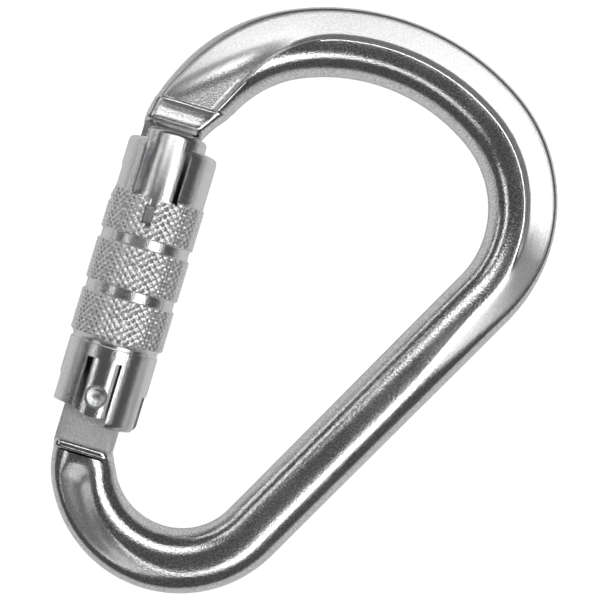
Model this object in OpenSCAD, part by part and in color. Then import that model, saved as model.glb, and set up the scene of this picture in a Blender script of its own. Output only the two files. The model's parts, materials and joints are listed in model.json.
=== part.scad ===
// Twist-lock carabiner with a wide basket, lying flat. The gate runs along +Y from
// the hinge to the nose, the spine is on the +X side, and z = 0 is the middle plane.
// All shapes are drawn from the hinge rivet's axis, and then moved so that the
// origin is the centre of the whole outline.

/* [Frame outline] */
// Distance from the hinge rivet to the shoulder over the nose
gate_span = 50; // [46:0.5:60]
// Lean of the spine away from the gate, in degrees
spine_lean = 28.3; // [25:0.1:31]
// Straight leg from the hinge rivet to the narrow end
hinge_leg = 7.5; // [7:0.1:9]
// Radius of the narrow end, at the middle of the bar
narrow_r = 17.7; // [15:0.1:21]
// Radius of the corner between spine and basket, at the middle of the bar
corner_r = 23.8; // [20:0.1:28]
// Turn of that corner, in degrees
corner_turn = 85; // [75:1:90]
// Turn of the basket's crown, in degrees
crown_turn = 58; // [50:1:65]
// Radius of the bend from the crown down to the nose
shoulder_r = 26.4; // [22:0.1:32]
// Heading of the bar where the nose block starts, in degrees from +X
nose_heading = 243.6; // [235:0.1:255]

/* [Frame bar] */
// Width of the narrow end
narrow_w = 11.7; // [10:0.1:13]
// Width of the spine
spine_w = 11.4; // [9.5:0.1:13]
// Width of the basket
basket_w = 12.8; // [11:0.1:15]
// Thickness of the narrow end
narrow_t = 9.6; // [8:0.1:11.5]
// Thickness of the spine
spine_t = 10.6; // [9:0.1:12.5]
// Thickness of the basket
basket_t = 10.8; // [9:0.1:13]
// Thickness of the frame at the nose shoulder
shoulder_t = 9.4; // [8:0.1:11]

/* [Hinge] */
// Thickness of the hinge tongue
tongue_t = 4.8; // [4:0.1:5]
// How far the tongue's flat sides lie inside the gate's outline: outer and inner side
tongue_inset = [0.2, 0.6]; // [0.1:0.1:1]
// How far the tongue's end, where the plunger rests, reaches past the gate's own radius
tongue_rise = 0.35; // [0.2:0.05:0.5]
// Lift of the plunger for each radian that the gate opens
cam_lift = 1.0; // [0.6:0.05:1.2]
// Opening angle of the gate, in degrees
gate_swing = 46; // [40:1:48]
// Radius of the hinge rivet
rivet_r = 2.1; // [1.7:0.05:2.4]
// Width of the rim around the dimple in each end of the rivet
dimple_rim = 0.35; // [0.25:0.05:0.6]
// Radial running clearance between the rivet and the tongue
rivet_play = 0.04; // [0.02:0.01:0.08]

/* [Nose] */
// Thickness of the nose's neck
nose_t = 4.2; // [3.6:0.1:4.6]
// Thickness of the nose's foot, which the gate hooks over
foot_t = 5.8; // [5:0.1:6]
// Height of the foot
foot_h = 3.0; // [2.4:0.1:3.6]
// Distance from the shoulder down to the underside of the foot
nose_drop = 12.8; // [12:0.1:13]
// Clearance around the nose and around the tongue
latch_gap = 0.2; // [0.15:0.01:0.3]
// Wall of the gate behind the nose, on the inner side
nose_wall = 1.7; // [1.4:0.05:2]

/* [Gate] */
// Radius of the gate's cheeks
gate_r = 5.6; // [5.4:0.05:5.8]
// Gap between the gate's top and the shoulder over the nose
gate_gap = 1.1; // [0.9:0.1:2]
// Distance from the rivet to the gate's lower end
gate_tail = 3.7; // [3.2:0.1:4]
// Radius of the spring bore
bore_r = 2.1; // [1.8:0.05:2.4]
// Solid length between the spring bore and the nose's foot
bore_end_wall = 8.2; // [6:0.1:10]

/* [Sleeve] */
// Room between the gate and the sleeve's bore, for the spring
spring_gap = 1.0; // [0.9:0.05:1.1]
// Wall of the plain lower end of the sleeve
sleeve_wall = 1.5; // [1.3:0.05:1.8]
// How much wider the bore is around the nose
nose_relief = 0.3; // [0.2:0.05:0.4]
// Wall of the plain upper end of the sleeve
collar_wall = 1.35; // [1.2:0.05:1.6]
// Height of the knurled bands over the plain lower end
knurl_h = 0.5; // [0.3:0.05:0.8]
// Height of the first knurled band above the rivet
knurl_start = 10.2; // [9:0.1:11]
// Number of knurled bands
knurl_bands = 3; // [2:1:4]
// Width of the plain groove between two bands
groove_w = 1.6; // [1:0.1:2.4]
// Length of the plain upper end of the sleeve
collar_len = 9.5; // [9:0.1:11]
// Distance from the gate's top down to the sleeve's upper end
top_drop = 2.4; // [1.5:0.1:3]
// Distance from the rivet down to the sleeve's inner skirt
skirt_in = 4.9; // [4.4:0.1:5.2]
// Distance from the rivet down to the sleeve's outer skirt
skirt_out = 2.4; // [2:0.1:3]
// Side room of the tongue in the lower slots
tongue_room = 0.725; // [0.5:0.025:1]
// Height of the lower slots' upper edge over the tongue's end
lower_slot_rise = 0.85; // [0.6:0.05:1.5]
// Side room of the nose's foot in the upper slots
foot_room = 1.15; // [0.8:0.05:1.4]
// Height of the notch in the outer skirt, and of the inner relief, over the rivet
notch_top = [2.3, 1.9]; // [1:0.1:3]
// Twist that unlocks the gate, in degrees
twist = 90; // [80:5:90]

/* [Key and springs] */
// Width of the key that runs in the gate's groove
key_w = 1.65; // [1.2:0.05:2]
// Height of the key
key_h = 3.1; // [2.4:0.1:3.6]
// Wire radius of the gate spring
gate_wire_r = 0.3; // [0.2:0.02:0.36]
// Number of turns of the gate spring
gate_turns = 9; // [6:1:12]
// Wire radius of the sleeve spring
sleeve_wire_r = 0.34; // [0.26:0.02:0.38]
// Number of turns of the sleeve spring
sleeve_turns = 8; // [5:1:10]
// Thickness of the thrust washer over the sleeve spring
washer_t = 0.8; // [0.5:0.1:1.2]
// Length of the bush that guides the lower end of the sleeve
bush_len = 3.2; // [2.4:0.1:4]
// Wire radius of the ring that holds the bush
ring_wire_r = 0.5; // [0.4:0.02:0.56]

/* [Hidden] */
$fn = 64;

// Heights along the gate
gate_top = gate_span - gate_gap;
foot_in_r = gate_span - nose_drop;
foot_out_r = foot_in_r + foot_h;
bore_top = foot_in_r - bore_end_wall;

// Running clearances: sliding fits, cheeks, nose, skirt, key and plunger stem
slide_play = 0.06;
cheek_play = 0.15;
nose_play = 0.45;
skirt_play = 0.25;
key_play = 0.05;
groove_play = 0.12;
stem_play = 0.35;

// Steps along the gate between the slots, the guides, the key and the bush
slot_drop = 0.8;
nose_bore_drop = 0.6;
neck_relief_drop = 3;
key_drop = 1.2;
keyway_drop = 0.9;
guide_lips = [1.6, 0.3];
fork_room = 1.1;
bush_rise = 1.7;

// Radii and heights of the sleeve
sleeve_bore_r = gate_r + spring_gap;
nose_bore_r = sleeve_bore_r + nose_relief;
sleeve_r = sleeve_bore_r + sleeve_wall;
collar_r = nose_bore_r + collar_wall;
knurl_r = sleeve_r + knurl_h;
sleeve_top = gate_top - top_drop;
knurl_end = sleeve_top - collar_len;
upper_slot_bottom = knurl_end - slot_drop;
neck_relief_bottom = foot_in_r - neck_relief_drop;
upper_slot_w = foot_t + 2 * foot_room;
lower_slot_w = tongue_t + 2 * tongue_room;

// Nose and tongue
nose_in_x = gate_r - nose_wall;
nose_r = nose_bore_r - nose_play;
tongue_r = gate_r + tongue_rise;
cam_reach = tongue_r + cam_lift * gate_swing * PI / 180;
fork_top = cam_reach + fork_room;
cheek_gap = tongue_t / 2 + cheek_play;
tongue_in_x = gate_r - tongue_inset[1];
tongue_out_x = tongue_inset[0] - gate_r;
lower_slot_top = tongue_r + lower_slot_rise;
skirt_reach = norm([sqrt(sleeve_r ^ 2 - (tongue_t / 2) ^ 2), skirt_in]);
shoulder_clear = skirt_reach + skirt_play;

// Guides of the sleeve, spring room and key
guide_r = sleeve_bore_r - slide_play;
bush_bottom = fork_top + bush_rise;
key_bottom = upper_slot_bottom - key_drop - key_h;
key_groove = [key_bottom - groove_play, key_bottom + key_h + groove_play];
upper_guide = [key_groove[0] - guide_lips[0], upper_slot_bottom + guide_lips[1]];
spring_room = [bush_bottom + bush_len, upper_guide[0]];
key_inner_r = gate_r + key_play;
keyway_bottom = key_bottom - keyway_drop;
nose_bore_bottom = upper_slot_bottom - nose_bore_drop;
ring_y = bush_bottom - ring_wire_r;
plunger_r = bore_r - slide_play;
plunger_head = 7;
plunger_stem_r = bore_r - 2 * gate_wire_r - stem_play;
plunger_stem = 7;

// One bend of the bar: the move along an arc of radius 1 between two headings
function arc_move(from, to) = [sin(to) - sin(from), cos(from) - cos(to)];
function cross2(a, b) = a[0] * b[1] - a[1] * b[0];

// Headings where the bar changes from one bend to the next
h_spine = 90 - spine_lean;
h_corner = h_spine + corner_turn;
h_crown = h_corner + crown_turn;
bar_start = [(tongue_in_x + tongue_out_x) / 2, -hinge_leg];
bar_end = [2.8, gate_span + 8.3];

// The spine's length and the crown's radius close the loop onto the nose
gap_to_close = bar_end - bar_start - narrow_r * arc_move(-90, h_spine)
    - corner_r * arc_move(h_spine, h_corner) - shoulder_r * arc_move(h_crown, nose_heading);
spine_dir = [cos(h_spine), sin(h_spine)];
crown_dir = arc_move(h_corner, h_crown);
spine_len = cross2(gap_to_close, crown_dir) / cross2(spine_dir, crown_dir);
crown_r = cross2(spine_dir, gap_to_close) / cross2(spine_dir, crown_dir);

// Stretches of the bar: length, turn in degrees, radius, rings, width and thickness at the end
stretches = [
    [0, (90 + h_spine) / 2, narrow_r, 13, narrow_w, narrow_t],
    [0, (90 + h_spine) / 2, narrow_r, 13, spine_w, spine_t],
    [spine_len, 0, 0, 10, spine_w + 0.4, spine_t],
    [0, corner_turn, corner_r, 18, basket_w, basket_t],
    [0, crown_turn, crown_r, 16, basket_w - 0.4, basket_t],
    [0, nose_heading - h_crown, shoulder_r, 8, basket_w, basket_t]
];

function smooth(t) = t * t * (3 - 2 * t);
function mix(a, b, t) = a * (1 - t) + b * t;
function turned(h) = [sin(h), -cos(h)];

// A point and heading at share t of one stretch that starts at p with heading h
function along(p, h, s, t) = s[1] == 0
    ? [p + t * s[0] * [cos(h), sin(h)], h]
    : [p + s[2] * arc_move(h, h + t * s[1]), h + t * s[1]];

// Rings of the bar: outer edge, inner edge and half thickness
function ring(place, w, t) =
    [place[0] + turned(place[1]) * w / 2, place[0] - turned(place[1]) * w / 2, t / 2];
function stretch_rings(p, h, i, w, t) = let (s = stretches[i]) [
    for (k = [(i == 0 ? leg_skip : 1):s[3]]) let (u = k / s[3])
        ring(along(p, h, s, u), mix(w, s[4], smooth(u)), mix(t, s[5], smooth(u)))
];
function bar_rings(p, h, i, w, t) = i == len(stretches) ? [] : concat(
    stretch_rings(p, h, i, w, t),
    bar_rings(along(p, h, stretches[i], 1)[0], h + stretches[i][1], i + 1,
              stretches[i][4], stretches[i][5]));

// The bar swells from the tongue's shoulder to its first full ring below the hinge
leg_skip = 3;
leg_w = tongue_in_x - tongue_out_x + 1.2;
leg_t = 7;
shoulder_ring = [[tongue_out_x, -shoulder_clear], [tongue_in_x, -shoulder_clear], tongue_t / 2 + 0.4];

// The bar narrows from its last bend to the flat shoulder over the nose, along two curves
function bezier(a, b, c, d, t) =
    a * (1 - t) ^ 3 + 3 * b * t * (1 - t) ^ 2 + 3 * c * t ^ 2 * (1 - t) + d * t ^ 3;
function last(v) = v[len(v) - 1];
function shoulder_rings(from) = let (
    down = [cos(nose_heading), sin(nose_heading)],
    out_end = [-nose_r, gate_span],
    in_end = [nose_in_x + 0.5, gate_span],
    out_arm = norm(out_end - from[0]) / 3,
    in_arm = norm(in_end - from[1]) / 3
) [
    for (k = [1:6]) let (u = k / 6) [
        bezier(from[0], from[0] + down * out_arm, out_end + [0, out_arm], out_end, u),
        bezier(from[1], from[1] + (down - [0.15, 0]) * in_arm, in_end + [0.5, 0.9] * in_arm, in_end, u),
        mix(from[2], shoulder_t / 2, smooth(u))]
];

bend_rings = bar_rings(bar_start, -90, 0, leg_w, leg_t);
rings = concat([shoulder_ring], bend_rings, shoulder_rings(last(bend_rings)));

// Extents of the whole object, and the move that puts its centre at the origin
x_hi = max([for (r = rings) max(r[0][0], r[1][0])]);
y_lo = min([for (r = rings) min(r[0][1], r[1][1])]);
y_hi = max([for (r = rings) max(r[0][1], r[1][1])]);
to_centre = -[(x_hi - knurl_r) / 2, (y_lo + y_hi) / 2, 0];

module placed() {
    translate(to_centre) children();
}

// A section of the bar: a rounded oval between its outer and inner edge
sides = 16;
roundness = 2.3;
function signed_pow(v, e) = sign(v) * abs(v) ^ e;
function section(r) = [
    for (k = [0:sides - 1]) let (
        a = 360 * (k + 0.5) / sides,
        across = (1 + signed_pow(cos(a), 2 / roundness)) / 2,
        p = mix(r[0], r[1], across)
    ) [p[0], p[1], r[2] * signed_pow(sin(a), 2 / roundness)]
];

// A closed loft through all the rings
module loft(list) {
    count = len(list);
    points = [for (r = list) each section(r)];
    function at(i, k) = i * sides + k % sides;
    start_cap = [[for (k = [0:sides - 1]) at(0, k)]];
    end_cap = [[for (k = [sides - 1:-1:0]) at(count - 1, k)]];
    walls = [
        for (i = [0:count - 2]) for (k = [0:sides - 1])
            each [[at(i, k), at(i + 1, k), at(i + 1, k + 1)], [at(i, k), at(i + 1, k + 1), at(i, k + 1)]]
    ];
    polyhedron(points, concat(start_cap, walls, end_cap), convexity = 8);
}

// A cylinder along the gate between two heights
module along_gate(r, y) {
    translate([0, y[0], 0])
        rotate([-90, 0, 0])
            cylinder(r = r, h = y[1] - y[0]);
}

// How far cutting blocks reach past the gate and the sleeve
far = 2 * gate_r;

// A block given by its lowest and highest corner
module block(lo, hi) {
    translate(lo) cube(hi - lo);
}

// A flat ring sector about the rivet, as thick as t
module rivet_ring(r_in, r_out, t) {
    difference() {
        cylinder(r = r_out, h = t, center = true, $fn = 128);
        cylinder(r = r_in, h = t + 1, center = true, $fn = 128);
    }
}

// Outline of the cam on the tongue: a flat follower on it rises evenly as the gate opens
cam_steps = 8;
function cam_point(a) = let (reach = tongue_r + cam_lift * a * PI / 180)
    [reach * sin(a) + cam_lift * cos(a), reach * cos(a) - cam_lift * sin(a)];
cam_outline = concat([[0, 0], [0, tongue_r]],
    [for (k = [0:cam_steps]) cam_point(gate_swing * k / cam_steps)], [[tongue_in_x, 0]]);

module tongue() {
    translate([0, 0, -tongue_t / 2])
        linear_extrude(tongue_t)
            difference() {
                union() {
                    intersection() {
                        circle(r = tongue_r, $fn = 96);
                        translate([tongue_out_x, -far]) square([tongue_in_x - tongue_out_x, 2 * far]);
                    }
                    polygon(cam_outline);
                    translate([tongue_out_x, -shoulder_clear - 0.6])
                        square([tongue_in_x - tongue_out_x, shoulder_clear + 0.6]);
                }
                circle(r = rivet_r + rivet_play);
            }
}

module nose() {
    intersection() {
        union() {
            block([-far, foot_in_r - 2, -nose_t / 2], [far, gate_span + 0.6, nose_t / 2]);
            rivet_ring(foot_in_r, foot_out_r, foot_t);
        }
        along_gate(nose_r, [foot_in_r - 2, gate_span + 0.6]);
        block([-far, foot_in_r - 2, -far], [nose_in_x, gate_span + 0.6, far]);
        rivet_ring(foot_in_r, gate_span + far, 2 * far);
    }
}

module frame() {
    color("silver") placed() {
        loft(rings);
        tongue();
        nose();
    }
}

// Slot in the gate that the nose swings out of, open to the outside and at the top
module nose_slot() {
    gap = latch_gap;
    intersection() {
        union() {
            block([-far, bore_top, -nose_t / 2 - gap], [far, gate_top + 1, nose_t / 2 + gap]);
            rivet_ring(foot_in_r - gap, foot_out_r + gap, foot_t + 2 * gap);
        }
        rivet_ring(foot_in_r - gap, gate_top + far, 2 * far);
        block([-far, bore_top, -far], [nose_in_x + gap, gate_top + 1, far]);
    }
}

// Key groove: a quarter turn of the gate's upper guide, plus the key's own width
module key_track() {
    groove_turn = twist + 2 * asin(key_w / 2 / gate_r) + 6;
    rotate([90, 0, 0])
        translate([0, 0, -key_groove[1]])
            rotate([0, 0, 90 - groove_turn / 2 + twist / 2])
                rotate_extrude(angle = groove_turn)
                    translate([gate_r, 0])
                        square([4, key_groove[1] - key_groove[0]]);
}

// Points of a rounded outer rim: a quarter arc of radius e from the side to the end face
function rim(r, y, e, side) = [
    for (k = [0:4]) let (a = 90 * (side > 0 ? k : 4 - k) / 4)
        [r - e + e * cos(a), y - side * e + side * e * sin(a)]
];

module gate_body() {
    edge = 0.9;
    color("gainsboro") placed() difference() {
        union() {
            intersection() {
                rotate([-90, 0, 0])
                    rotate_extrude()
                        polygon(concat([[0, -gate_tail], [gate_r, -gate_tail]],
                                       rim(gate_r, gate_top, edge, 1), [[0, gate_top]]));
                union() {
                    translate([0, gate_r + 1 - gate_tail, 0])
                        cylinder(r = gate_r + 1, h = 2 * far, center = true);
                    block([-far, gate_r + 1 - gate_tail, -far], [far, gate_top + 1, far]);
                }
            }
            along_gate(guide_r, upper_guide);
        }
        block([-far, -far, -cheek_gap], [far, fork_top, cheek_gap]);
        along_gate(bore_r, [fork_top - 1, bore_top]);
        cylinder(r = rivet_r, h = 2 * far, center = true);
        nose_slot();
        key_track();
        rotate([-90, 0, 0])
            rotate_extrude()
                translate([gate_r, ring_y])
                    circle(r = ring_wire_r, $fn = 24);
    }
}

module hinge_rivet() {
    rivet_z = sqrt(gate_r ^ 2 - rivet_r ^ 2) + 0.12;
    dimple_r = rivet_r - dimple_rim;
    dimple_depth = 0.5;
    color("darkgray") placed()
        rotate_extrude()
            polygon([[0, -rivet_z + dimple_depth], [dimple_r * 0.6, -rivet_z + dimple_depth * 0.75],
                     [dimple_r, -rivet_z], [rivet_r, -rivet_z], [rivet_r, rivet_z], [dimple_r, rivet_z],
                     [dimple_r * 0.6, rivet_z - dimple_depth * 0.75], [0, rivet_z - dimple_depth]]);
}

// A wire coil along the gate, as a closed tube
module coil(coil_r, wire_r, y, turns, steps, wire_sides) {
    count = turns * steps;
    rise = (y[1] - y[0] - 2 * wire_r) / count;
    points = [
        for (i = [0:count]) for (k = [0:wire_sides - 1]) let (
            a = 360 * i / steps,
            b = 360 * k / wire_sides,
            r = coil_r + wire_r * cos(b)
        ) [r * sin(a), y[0] + wire_r + rise * i + wire_r * sin(b), r * cos(a)]
    ];
    function at(i, k) = i * wire_sides + k % wire_sides;
    walls = [
        for (i = [0:count - 1]) for (k = [0:wire_sides - 1])
            each [[at(i, k), at(i + 1, k), at(i + 1, k + 1)], [at(i, k), at(i + 1, k + 1), at(i, k + 1)]]
    ];
    polyhedron(points, concat([[for (k = [0:wire_sides - 1]) at(0, k)]], walls,
        [[for (k = [wire_sides - 1:-1:0]) at(count, k)]]), convexity = 10);
}

plunger_foot = tongue_r + 0.04;
plunger_step = plunger_foot + plunger_head;

module gate_spring() {
    color("slategray") placed()
        coil(bore_r - gate_wire_r - 0.12, gate_wire_r,
             [plunger_step + 0.02, bore_top - 0.02], gate_turns, 16, 6);
}

module spring_plunger() {
    color("goldenrod") placed()
        rotate([-90, 0, 0])
            rotate_extrude()
                polygon([[0, plunger_foot], [plunger_r - 0.3, plunger_foot], [plunger_r, plunger_foot + 0.3],
                         [plunger_r, plunger_step], [plunger_stem_r, plunger_step],
                         [plunger_stem_r, plunger_step + plunger_stem], [0, plunger_step + plunger_stem]]);
}

// Outer outline of one knurled band and the grooves beside it
band_len = (knurl_end - knurl_start - (knurl_bands - 1) * groove_w) / knurl_bands;
function band_outline(i) = let (y = knurl_start + i * (band_len + groove_w)) [
    [sleeve_r, y], [knurl_r, y + 0.3], [knurl_r, y + band_len - 0.3], [sleeve_r, y + band_len]
];

module sleeve_outline() {
    edge = 1;
    polygon(concat(
        [[sleeve_bore_r, -skirt_in]], rim(sleeve_r, -skirt_in, edge, -1),
        [for (i = [0:knurl_bands - 1]) each band_outline(i)],
        [[collar_r, knurl_end]], rim(collar_r, sleeve_top, edge, 1),
        [[nose_bore_r, sleeve_top], [nose_bore_r, nose_bore_bottom], [sleeve_bore_r, nose_bore_bottom]]));
}

module locking_sleeve() {
    relief = latch_gap + 0.1;
    neck_half = nose_t / 2 + relief;
    foot_half = foot_t / 2 + relief;
    tongue_half = tongue_t / 2 + relief;
    notch_half = tongue_half + 0.35;
    window_bottom = sqrt((foot_in_r - latch_gap) ^ 2 - (collar_r + 0.4) ^ 2) - latch_gap;
    color("whitesmoke") placed() difference() {
        rotate([-90, 0, 0])
            rotate_extrude()
                sleeve_outline();
        // Slots that face the frame when the sleeve is twisted open
        block([-upper_slot_w / 2, upper_slot_bottom, -far], [upper_slot_w / 2, sleeve_top + 1, far]);
        block([-lower_slot_w / 2, -skirt_in - 1, -far], [lower_slot_w / 2, lower_slot_top, far]);
        // Shorter skirt on the outer side, and its notch
        block([-far, -skirt_in - 1, -far], [-lower_slot_w / 2, -skirt_out, far]);
        block([-far, -skirt_in - 1, -notch_half], [-1, notch_top[0], notch_half]);
        // Relief openings in line with the nose and the tongue
        block([-far, neck_relief_bottom, -neck_half], [-4, sleeve_top + 1, neck_half]);
        block([-far, window_bottom, -foot_half], [-4, foot_out_r + relief + latch_gap, foot_half]);
        block([1, -skirt_in - 1, -tongue_half], [far, notch_top[1], tongue_half]);
        // Keyway
        block([-key_w / 2, keyway_bottom, 2], [key_w / 2, upper_slot_bottom + 1, far]);
    }
}

module sleeve_spring() {
    color("steelblue") placed()
        coil((gate_r + sleeve_bore_r) / 2, sleeve_wire_r,
             [spring_room[0] + 0.05, spring_room[1] - washer_t - 0.1], sleeve_turns, 24, 6);
}

module sleeve_key() {
    color("dimgray") placed()
        block([-key_w / 2, key_bottom, key_inner_r], [key_w / 2, key_bottom + key_h, knurl_r - 0.5]);
}

module thrust_washer() {
    color("lightsteelblue") placed()
        difference() {
            along_gate(sleeve_bore_r - 0.1, [spring_room[1] - washer_t - 0.05, spring_room[1] - 0.05]);
            along_gate(gate_r + slide_play, [spring_room[0], spring_room[1] + 1]);
        }
}

module guide_bush() {
    color("ivory") placed()
        difference() {
            along_gate(guide_r, [bush_bottom, bush_bottom + bush_len]);
            along_gate(gate_r, [bush_bottom - 1, bush_bottom + bush_len + 1]);
        }
}

module retaining_ring() {
    color("slategray") placed()
        rotate([-90, 0, 0])
            rotate([0, 0, 110])
                rotate_extrude(angle = 320)
                    translate([gate_r, ring_y])
                        circle(r = ring_wire_r, $fn = 24);
}

frame();
gate_body();
hinge_rivet();
gate_spring();
spring_plunger();
locking_sleeve();
sleeve_spring();
sleeve_key();
thrust_washer();
guide_bush();
retaining_ring();
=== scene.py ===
# %% [markdown]
# # A twist-lock carabiner in polished aluminium
# The carabiner lies flat: its gate runs along +Y, the spine is on the +X side and +Z is up.
# A carabiner is a good lesson in metal, because nearly everything that the eye sees on it is a
# reflection. So the work is in two halves: surfaces that bend the way the forged and turned ones
# do, and a small studio for them to reflect. Sizes are written in millimetres, measured from the
# hinge rivet, as on a maker's drawing, and `to_row` turns them into metres in the model's frame.

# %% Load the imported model
import json

import bmesh
import bpy
import numpy as np
from mathutils import Matrix, Vector


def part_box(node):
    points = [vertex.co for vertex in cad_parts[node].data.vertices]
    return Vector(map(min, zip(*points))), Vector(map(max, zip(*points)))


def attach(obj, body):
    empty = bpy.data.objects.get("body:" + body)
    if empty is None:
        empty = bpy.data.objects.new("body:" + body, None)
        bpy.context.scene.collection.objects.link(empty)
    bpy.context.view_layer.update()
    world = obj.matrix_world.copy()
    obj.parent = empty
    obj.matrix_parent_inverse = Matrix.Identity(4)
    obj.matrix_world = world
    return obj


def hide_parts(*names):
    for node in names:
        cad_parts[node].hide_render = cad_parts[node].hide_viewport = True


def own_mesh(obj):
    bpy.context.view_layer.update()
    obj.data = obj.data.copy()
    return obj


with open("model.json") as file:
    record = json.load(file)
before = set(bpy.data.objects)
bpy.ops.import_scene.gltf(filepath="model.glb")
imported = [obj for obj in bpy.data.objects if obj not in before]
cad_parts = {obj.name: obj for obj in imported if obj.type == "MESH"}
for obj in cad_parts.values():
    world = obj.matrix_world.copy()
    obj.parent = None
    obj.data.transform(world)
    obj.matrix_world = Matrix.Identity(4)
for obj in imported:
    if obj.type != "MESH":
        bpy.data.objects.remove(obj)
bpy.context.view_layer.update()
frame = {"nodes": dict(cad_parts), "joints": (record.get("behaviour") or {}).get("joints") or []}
MM = 0.001
joint = {j["name"]: j for j in frame["joints"]}
RIVET = np.array(joint["gate_swing"]["pos_m"])
print("hinge rivet at", RIVET.round(5).tolist())


def to_row(points):
    """Millimetres from the rivet's centre, turned into metres in the model's frame."""
    return np.asarray(points, float) * MM + RIVET


# %% [markdown]
# ## Camera
# The view is straight down on the flat carabiner, turned so that the gate leans to the right.
# A long lens keeps the two ends of the bar the same size. The picture's centre and its
# up direction are all that has to be stated: the distance follows from the width it takes in.

# %% Camera
VIEW_CENTRE = (29.6, 26.7, 0.0)
VIEW_WIDTH = 108.15
VIEW_LEAN = np.radians(16.7)
VIEW_ANGLE = np.radians(24)
SENSOR = 36.0

camera_data = bpy.data.cameras.new("camera")
camera_data.sensor_width = SENSOR
camera_data.lens = SENSOR / 2 / np.tan(VIEW_ANGLE / 2)
camera = bpy.data.objects.new("camera", camera_data)
bpy.context.scene.collection.objects.link(camera)
bpy.context.scene.camera = camera
distance = VIEW_WIDTH / 2 / np.tan(VIEW_ANGLE / 2)
right = Vector((np.cos(VIEW_LEAN), np.sin(VIEW_LEAN), 0))
up = Vector((-np.sin(VIEW_LEAN), np.cos(VIEW_LEAN), 0))
turn = Matrix((right, up, (0, 0, 1))).transposed().to_4x4()
eye = to_row((VIEW_CENTRE[0], VIEW_CENTRE[1], distance))
camera.matrix_world = Matrix.Translation(Vector(eye)) @ turn
print("lens", round(camera_data.lens, 1), "mm, eye height", round(distance), "mm")

# %% [markdown]
# ## Putting a surface into a mesh
# Every new piece is a grid: rows of points along it and columns round it. One helper turns such
# an array into a mesh. It builds the faces with index arithmetic on the whole array at once,
# closes the grid round a seam where asked, and writes smooth shading with sharp edges by angle.


# %% Grid helper
def grid_faces(rows, cols, wrap_rows=False, wrap_cols=False):
    """Quads between neighbouring rows and columns, numbered row by row."""
    r = np.arange(rows if wrap_rows else rows - 1)
    c = np.arange(cols if wrap_cols else cols - 1)
    r, c = np.meshgrid(r, c, indexing="ij")
    r2, c2 = (r + 1) % rows, (c + 1) % cols
    quads = np.stack([r * cols + c, r * cols + c2, r2 * cols + c2, r2 * cols + c], -1)
    return quads.reshape(-1, 4)


def end_caps(rows, cols):
    """One face over the first row of a tube and one over the last."""
    return [[list(range(cols))[::-1]], [list(range((rows - 1) * cols, rows * cols))]]


def node_box(node):
    """The lower and the upper corner of a CAD node, in millimetres from the rivet."""
    return [np.array(corner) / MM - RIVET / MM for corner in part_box(node)]


def close_mesh(mesh):
    """Merges points that coincide at seams and poles and turns every face outwards."""
    bm = bmesh.new()
    bm.from_mesh(mesh)
    bmesh.ops.remove_doubles(bm, verts=bm.verts, dist=1e-7)
    bmesh.ops.dissolve_degenerate(bm, dist=1e-7, edges=bm.edges)
    bmesh.ops.recalc_face_normals(bm, faces=bm.faces)
    bad = sum(not e.is_manifold for e in bm.edges)
    if bad:
        print(mesh.name, "has", bad, "open edges")
    bm.to_mesh(mesh)
    bm.free()


def make_piece(name, points, faces, body, stands_for=(), sharp=35.0, satin=None):
    """A mesh from points in millimetres and a list of face arrays, riding on a body."""
    mesh = bpy.data.meshes.new(name)
    faces = [face for group in faces for face in np.asarray(group).tolist()]
    mesh.from_pydata(to_row(np.reshape(points, (-1, 3))), [], faces)
    if satin is not None:
        mask = mesh.attributes.new("satin", "FLOAT", "POINT")
        mask.data.foreach_set("value", np.ravel(satin).astype(np.float32))
    close_mesh(mesh)
    mesh.shade_smooth()
    mesh.set_sharp_from_angle(angle=np.radians(sharp))
    piece = bpy.data.objects.new(name, mesh)
    bpy.context.scene.collection.objects.link(piece)
    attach(piece, body)
    if stands_for:
        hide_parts(*stands_for)
    triangles = sum(len(p.vertices) - 2 for p in mesh.polygons)
    print(f"{name}: {triangles} triangles")
    return piece


def smooth(t):
    """An S-shaped ramp from 0 to 1: three squares minus two cubes of the share."""
    t = np.clip(t, 0, 1)
    return t * t * (3 - 2 * t)


def mix(a, b, t):
    """The point at share t between a and b."""
    return a * (1 - t) + b * t


# %% [markdown]
# ## The forged bar: where it runs
# The bar is bent from one rod: a narrow bend below the hinge, a straight spine, and a wide basket
# of three bends that comes down to the nose. Each stretch is a straight line or an arc that
# starts in the direction in which the last one ended. Two sizes are left free, the spine's
# length and the crown's radius, and the condition that the bar meets the nose gives them.

# %% Path of the bar
GATE_SPAN = 50.0
SPINE_LEAN = 28.3
HINGE_LEG = 7.5
NARROW_R = 17.7
CORNER_R, CORNER_TURN = 23.8, 85.0
CROWN_TURN = 58.0
SHOULDER_R = 26.4
NOSE_HEADING = 243.6
NECK_W = 10.4
TONGUE_X = (-NECK_W / 2 - 0.2, NECK_W / 2 - 0.2)
TONGUE_HALF = 2.4


def arc_move(start, end):
    """The move along an arc of radius 1 between two headings in degrees."""
    a, b = np.radians(start), np.radians(end)
    return np.array([np.sin(b) - np.sin(a), np.cos(a) - np.cos(b)])


heads = np.cumsum([-90, 180 - SPINE_LEAN, 0, CORNER_TURN, CROWN_TURN])
h_spine, h_corner, h_crown = heads[1], heads[3], heads[4]
bar_start = np.array([sum(TONGUE_X) / 2, -HINGE_LEG])
bar_end = np.array([2.8, GATE_SPAN + 8.3])
to_close = (bar_end - bar_start - NARROW_R * arc_move(-90, h_spine)
            - CORNER_R * arc_move(h_spine, h_corner)
            - SHOULDER_R * arc_move(h_crown, NOSE_HEADING))
spine_dir = np.array([np.cos(np.radians(h_spine)), np.sin(np.radians(h_spine))])
free = np.stack([spine_dir, arc_move(h_corner, h_crown)], 1)
SPINE_LEN, CROWN_R = np.linalg.solve(free, to_close)
print(f"spine {SPINE_LEN:.1f} mm, crown radius {CROWN_R:.1f} mm")

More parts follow.
